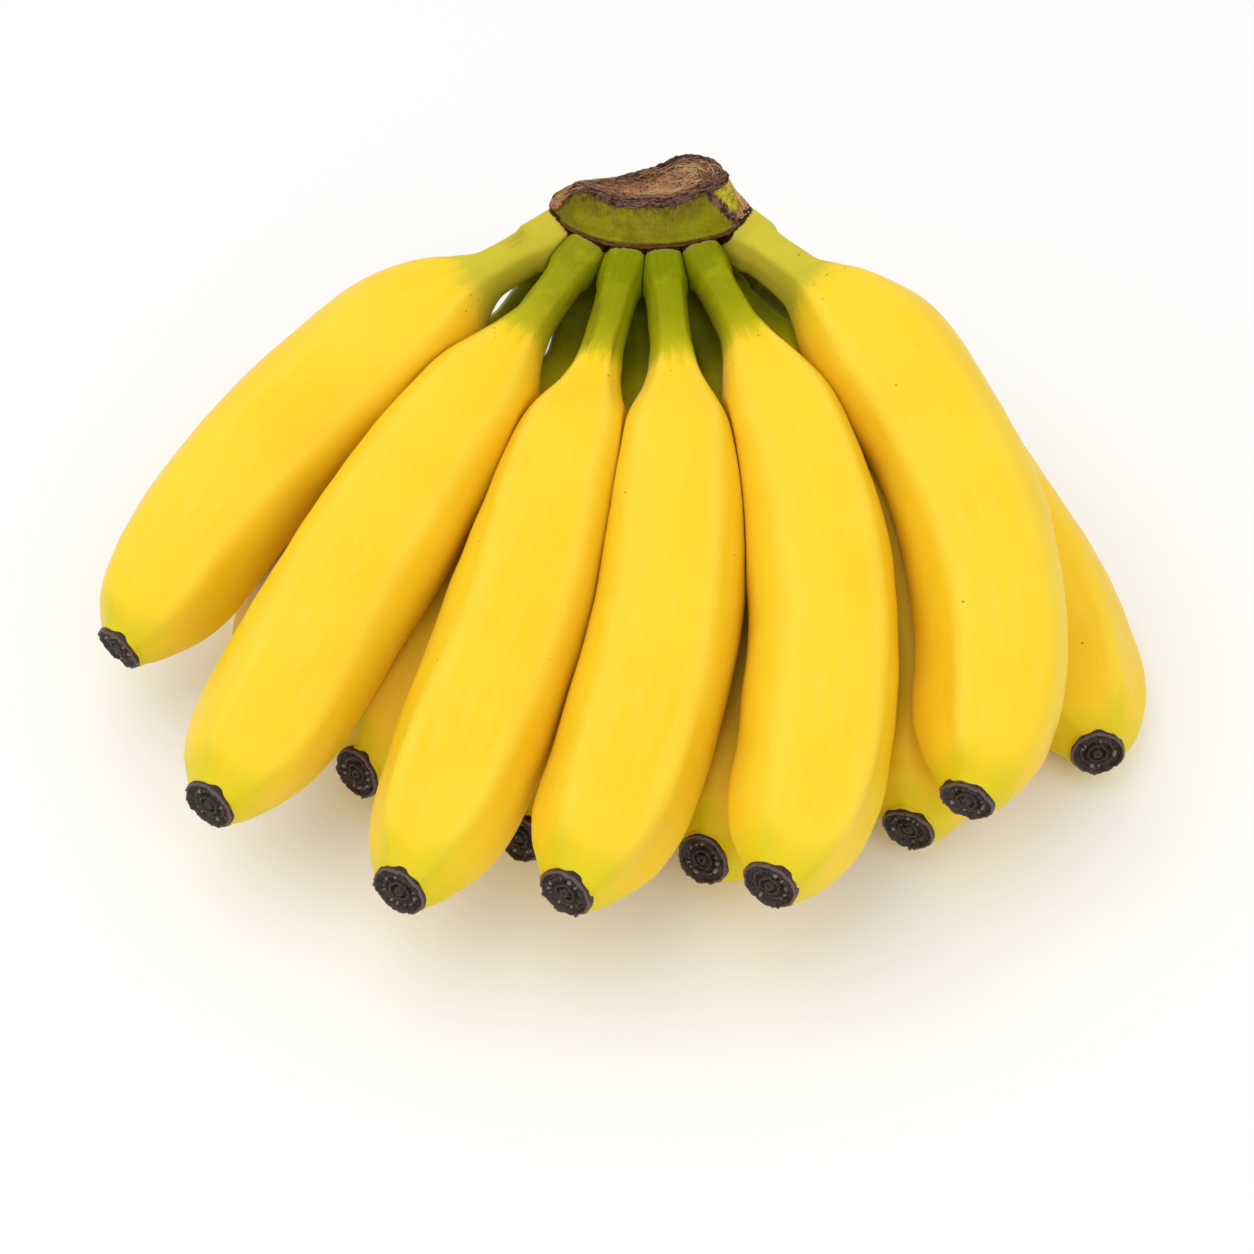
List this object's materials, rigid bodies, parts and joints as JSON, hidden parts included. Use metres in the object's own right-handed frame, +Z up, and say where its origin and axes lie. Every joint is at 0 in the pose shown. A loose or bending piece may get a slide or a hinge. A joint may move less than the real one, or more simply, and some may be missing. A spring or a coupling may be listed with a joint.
{
  "type": "hand of bananas",
  "caption": "Hand of ripe yellow dessert bananas in two rows, joined at one green crown with a brown cut face, lying with the crown raised.",
  "frame": {"origin": "middle of the hand's own box, on the surface it lies on", "axes": "+X to the right across the fan of fruits, +Y from the flower ends back to the crown, +Z up"},
  "size_m": [0.2418, 0.1818, 0.092],
  "materials": {
    "peel": "waxy satin",
    "crown": "matte, fibrous"
  },
  "bodies": {
    "root": {"banana_top_1": "peel", "banana_top_2": "peel", "banana_top_3": "peel", "banana_top_4": "peel", "banana_top_5": "peel", "banana_top_6": "peel", "banana_under_1": "peel", "banana_under_2": "peel", "banana_under_3": "peel", "banana_under_4": "peel", "banana_under_5": "peel", "banana_under_6": "peel", "crown": "crown"}
  },
  "joints": []
}
